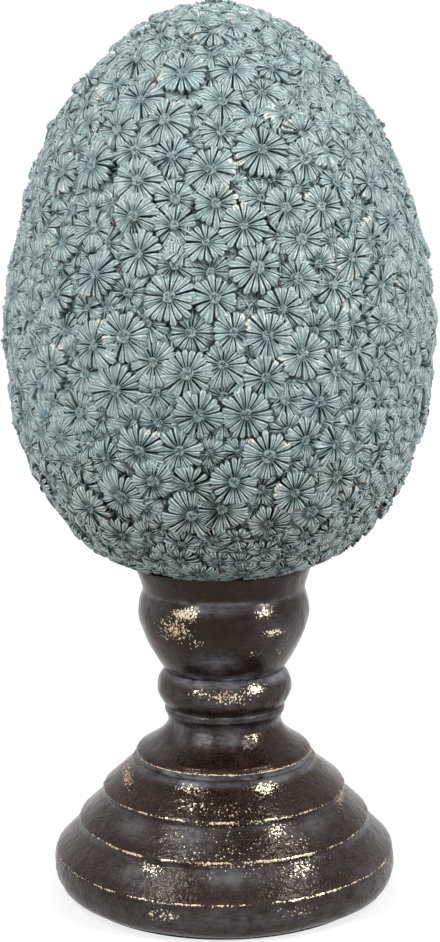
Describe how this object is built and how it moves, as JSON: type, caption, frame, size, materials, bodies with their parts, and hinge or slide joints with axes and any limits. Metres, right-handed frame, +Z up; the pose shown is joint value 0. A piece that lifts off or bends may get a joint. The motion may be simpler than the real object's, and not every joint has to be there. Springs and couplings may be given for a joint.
{
  "type": "decorative egg on stand",
  "caption": "Egg-shaped ornament covered in raised grey-teal daisies, on a turned, aged-bronze stand with a stepped round foot.",
  "frame": {"origin": "middle of the underside of the felt that the stand rests on", "axes": "+Z up along the stand's axis, -Y towards the front that the picture shows"},
  "size_m": [0.1435, 0.144, 0.2998],
  "materials": {
    "teal_resin": "matte grey-teal paint on cast resin, dark in the crevices, with petal tips rubbed cream and bronze",
    "bronze_resin": "satin dark brown paint on cast resin, with blue-grey wax in the grooves and gold rubbed on the edges",
    "zinc_steel": "zinc plated",
    "brass": "turned",
    "hardboard": "plain hardboard",
    "felt": "black felt"
  },
  "bodies": {
    "root": {"egg_shell": "teal_resin", "egg_base_plug": "teal_resin", "threaded_insert": "brass", "tie_rod": "zinc_steel", "stand_cup": "bronze_resin", "stand_bead": "bronze_resin", "stand_pedestal": "bronze_resin", "stand_foot": "bronze_resin", "rod_washer": "zinc_steel", "lock_washer": "zinc_steel", "rod_nut": "zinc_steel", "base_cover": "hardboard", "felt_base": "felt"}
  },
  "joints": []
}
